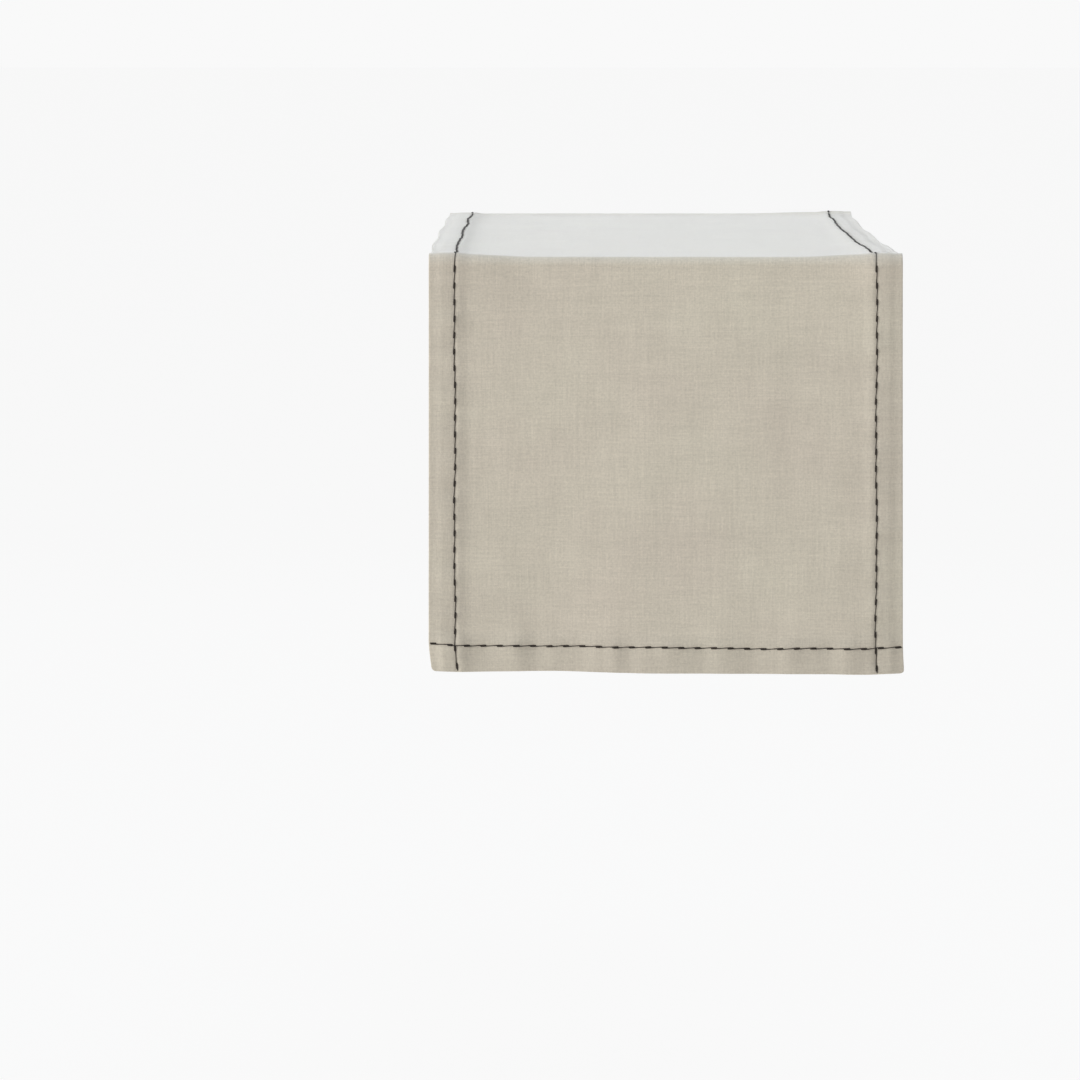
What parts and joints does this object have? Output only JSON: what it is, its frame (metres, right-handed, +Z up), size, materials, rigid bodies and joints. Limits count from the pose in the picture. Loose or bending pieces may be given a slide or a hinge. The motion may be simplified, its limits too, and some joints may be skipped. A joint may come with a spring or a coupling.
{
  "type": "table runner",
  "caption": "Plain-weave linen table runner with double-turned hems and dark contrast stitching, draped over a table top with an even drop at each side.",
  "frame": {"origin": "middle of the underside that lies on the table top", "axes": "+X across the runner, +Y along it towards the back of the table, +Z up. Left is -X, as seen from the front"},
  "size_m": [0.4, 0.8048, 0.3524],
  "materials": {
    "linen": "plain weave, washed, matt",
    "thread": "dark brown plied thread",
    "label_tape": "blank woven tape"
  },
  "bodies": {
    "table_span": {"top_cloth": "linen", "top_left_hem": "linen", "top_right_hem": "linen", "top_left_stitching": "thread", "top_right_stitching": "thread"},
    "front_drop": {"front_cloth": "linen", "front_left_hem": "linen", "front_right_hem": "linen", "front_end_hem": "linen", "front_left_stitching": "thread", "front_right_stitching": "thread", "front_end_stitching": "thread"},
    "back_drop": {"back_cloth": "linen", "back_left_hem": "linen", "back_right_hem": "linen", "back_end_hem": "linen", "back_left_stitching": "thread", "back_right_stitching": "thread", "back_end_stitching": "thread", "back_label": "label_tape"}
  },
  "joints": [
    {"name": "front_drop_lift", "type": "hinge", "parent": "table_span", "child": "front_drop", "pos_m": [0, -0.4, 0], "axis": [-1, 0, 0], "range_deg": [0, 90]},
    {"name": "back_drop_lift", "type": "hinge", "parent": "table_span", "child": "back_drop", "pos_m": [0, 0.4, 0], "axis": [1, 0, 0], "range_deg": [0, 90]}
  ]
}
